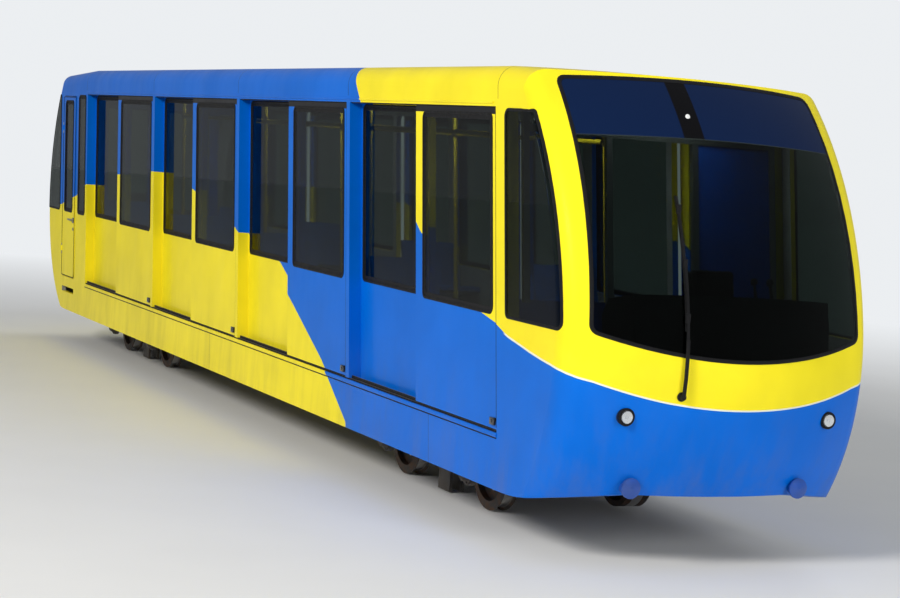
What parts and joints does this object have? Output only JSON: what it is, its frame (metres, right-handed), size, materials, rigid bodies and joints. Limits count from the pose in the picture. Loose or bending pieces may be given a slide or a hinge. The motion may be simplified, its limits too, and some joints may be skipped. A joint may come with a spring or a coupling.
{
  "type": "funicular car",
  "caption": "Funicular railway car with a stepped cabin, sliding side doors, hinged cab doors and pivoting bogies with flanged wheels and rollers.",
  "frame": {"origin": "centre of the car in plan, on the plane its wheel flanges stand on", "axes": "+X downhill along the track, +Y to the right looking uphill, +Z square to the track"},
  "size_m": [14.0707, 2.32, 3.1499],
  "materials": {
    "body_paint": "gloss",
    "frame_paint": "satin",
    "glass": "gloss",
    "deck_rubber": "matte",
    "rail_steel": "satin",
    "lamp_lens": "gloss",
    "seat_shell": "satin",
    "pole_yellow": "gloss",
    "panel_grey": "matte",
    "desk_dark": "matte",
    "wiper_black": "matte",
    "aluminium": "satin"
  },
  "bodies": {
    "car": {"underframe": "frame_paint", "floor_deck": "deck_rubber", "side_wall_right": "body_paint", "side_wall_left": "body_paint", "skirts": "body_paint", "guide_rails": "aluminium", "roof": "body_paint", "nose_down": "body_paint", "nose_up": "body_paint", "windscreens": "glass", "fixed_glass": "glass", "buffers": "rail_steel", "lamps": "lamp_lens", "rope_socket": "frame_paint", "seats": "seat_shell", "stanchions": "pole_yellow", "partitions": "panel_grey", "desks": "desk_dark", "wipers": "wiper_black"},
    "bogie_down": {"bogie_down": "frame_paint", "rail_brake_down": "frame_paint"},
    "wheelset_down_a": {"wheelset_down_a": "rail_steel"},
    "wheelset_down_b": {"wheelset_down_b": "rail_steel"},
    "bogie_up": {"bogie_up": "frame_paint", "rail_brake_up": "frame_paint"},
    "wheelset_up_a": {"wheelset_up_a": "rail_steel"},
    "wheelset_up_b": {"wheelset_up_b": "rail_steel"},
    "door_right_1": {"leaf_right_1": "body_paint", "leaf_glass_right_1": "glass"},
    "door_left_1": {"leaf_left_1": "body_paint", "leaf_glass_left_1": "glass"},
    "door_right_2": {"leaf_right_2": "body_paint", "leaf_glass_right_2": "glass"},
    "door_left_2": {"leaf_left_2": "body_paint", "leaf_glass_left_2": "glass"},
    "door_right_3": {"leaf_right_3": "body_paint", "leaf_glass_right_3": "glass"},
    "door_left_3": {"leaf_left_3": "body_paint", "leaf_glass_left_3": "glass"},
    "door_right_4": {"leaf_right_4": "body_paint", "leaf_glass_right_4": "glass"},
    "door_left_4": {"leaf_left_4": "body_paint", "leaf_glass_left_4": "glass"},
    "cab_door_right": {"cab_door_right": "body_paint", "cab_glass_right": "glass"},
    "cab_door_left": {"cab_door_left": "body_paint", "cab_glass_left": "glass"}
  },
  "joints": [
    {"name": "bogie_down_pivot", "type": "hinge", "parent": "car", "child": "bogie_down", "pos_m": [4.00039, 0, 0.51], "axis": [0, 0, 1], "range_deg": [-4, 4]},
    {"name": "wheelset_down_a_spin", "type": "hinge", "parent": "bogie_down", "child": "wheelset_down_a", "pos_m": [4.75039, 0, 0.276], "axis": [0, 1, 0], "continuous": true},
    {"name": "wheelset_down_b_spin", "type": "hinge", "parent": "bogie_down", "child": "wheelset_down_b", "pos_m": [3.25039, 0, 0.276], "axis": [0, 1, 0], "continuous": true},
    {"name": "bogie_up_pivot", "type": "hinge", "parent": "car", "child": "bogie_up", "pos_m": [-4.00039, 0, 0.51], "axis": [0, 0, 1], "range_deg": [-4, 4]},
    {"name": "wheelset_up_a_spin", "type": "hinge", "parent": "bogie_up", "child": "wheelset_up_a", "pos_m": [-3.25039, 0, 0.276], "axis": [0, 1, 0], "continuous": true},
    {"name": "wheelset_up_b_spin", "type": "hinge", "parent": "bogie_up", "child": "wheelset_up_b", "pos_m": [-4.75039, 0, 0.276], "axis": [0, 1, 0], "continuous": true},
    {"name": "door_right_1_slide", "type": "slide", "parent": "car", "child": "door_right_1", "axis": [-1, 0, 0], "range_m": [0, 1.25]},
    {"name": "door_left_1_slide", "type": "slide", "parent": "car", "child": "door_left_1", "axis": [-1, 0, 0], "range_m": [0, 1.25]},
    {"name": "door_right_2_slide", "type": "slide", "parent": "car", "child": "door_right_2", "axis": [-1, 0, 0], "range_m": [0, 1.25]},
    {"name": "door_left_2_slide", "type": "slide", "parent": "car", "child": "door_left_2", "axis": [-1, 0, 0], "range_m": [0, 1.25]},
    {"name": "door_right_3_slide", "type": "slide", "parent": "car", "child": "door_right_3", "axis": [-1, 0, 0], "range_m": [0, 1.25]},
    {"name": "door_left_3_slide", "type": "slide", "parent": "car", "child": "door_left_3", "axis": [-1, 0, 0], "range_m": [0, 1.25]},
    {"name": "door_right_4_slide", "type": "slide", "parent": "car", "child": "door_right_4", "axis": [-1, 0, 0], "range_m": [0, 1.25]},
    {"name": "door_left_4_slide", "type": "slide", "parent": "car", "child": "door_left_4", "axis": [-1, 0, 0], "range_m": [0, 1.25]},
    {"name": "cab_door_right_hinge", "type": "hinge", "parent": "car", "child": "cab_door_right", "pos_m": [-6.00412, 1.136, 1.75], "axis": [-0.1805, 0, 0.9836], "range_deg": [0, 90]},
    {"name": "cab_door_left_hinge", "type": "hinge", "parent": "car", "child": "cab_door_left", "pos_m": [-6.00412, -1.136, 1.75], "axis": [0.1805, 0, -0.9836], "range_deg": [0, 90]}
  ]
}
